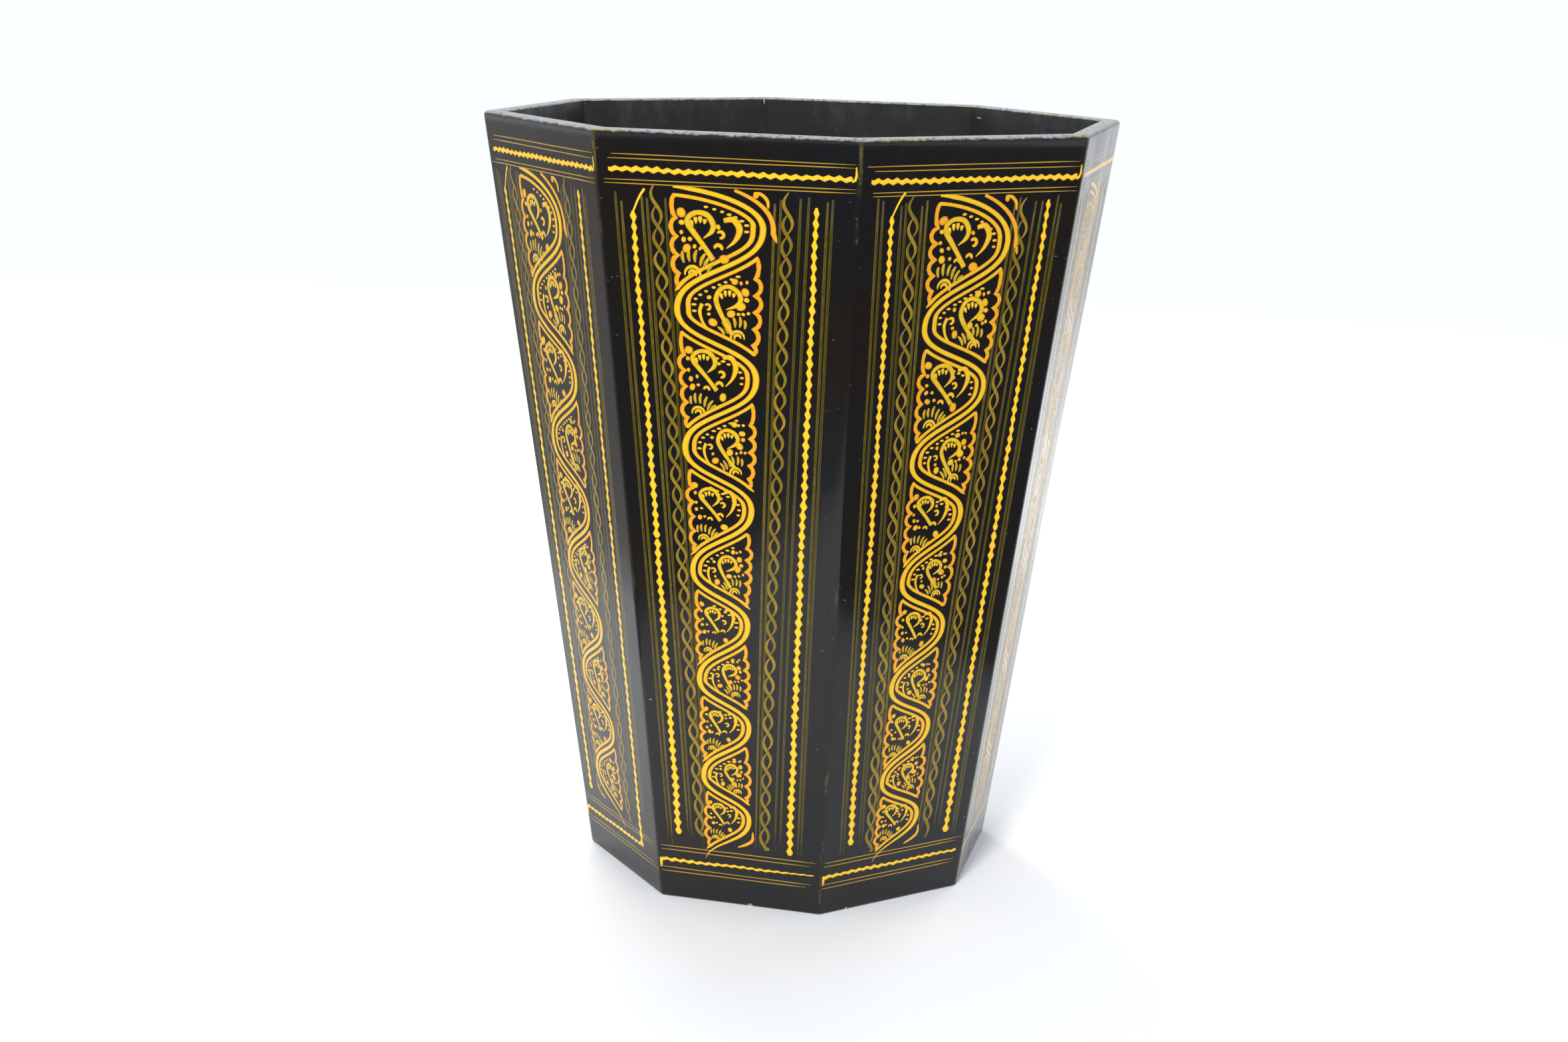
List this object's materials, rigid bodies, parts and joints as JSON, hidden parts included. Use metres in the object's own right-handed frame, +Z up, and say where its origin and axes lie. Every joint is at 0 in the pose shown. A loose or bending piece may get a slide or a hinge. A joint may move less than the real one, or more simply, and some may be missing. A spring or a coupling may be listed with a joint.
{
  "type": "waste bin",
  "caption": "Tapered octagonal open-top wooden bin of mitred side boards around a flat base board, black lacquer with hand-drawn golden scroll and rope ornament.",
  "frame": {"origin": "centre of the underside, on the surface that the bin stands on", "axes": "+Z up along the bin's axis, -Y out of the front board"},
  "size_m": [0.2324, 0.2324, 0.3],
  "materials": {
    "black_lacquer": "gloss black lacquer over wood",
    "ornament_gold": "gloss yellow-gold lacquer line, hand drawn",
    "ornament_orange": "gloss orange-gold lacquer line, hand drawn",
    "ornament_olive": "gloss olive-gold lacquer line, hand drawn",
    "base_wood": "stained underneath, black wash inside",
    "pin_steel": "bright drawn wire"
  },
  "bodies": {
    "root": {"stave_front": "black_lacquer", "stave_front_right": "black_lacquer", "stave_right": "black_lacquer", "stave_back_right": "black_lacquer", "stave_back": "black_lacquer", "stave_back_left": "black_lacquer", "stave_left": "black_lacquer", "stave_front_left": "black_lacquer", "base_board": "base_wood", "base_pins": "pin_steel"}
  },
  "joints": []
}
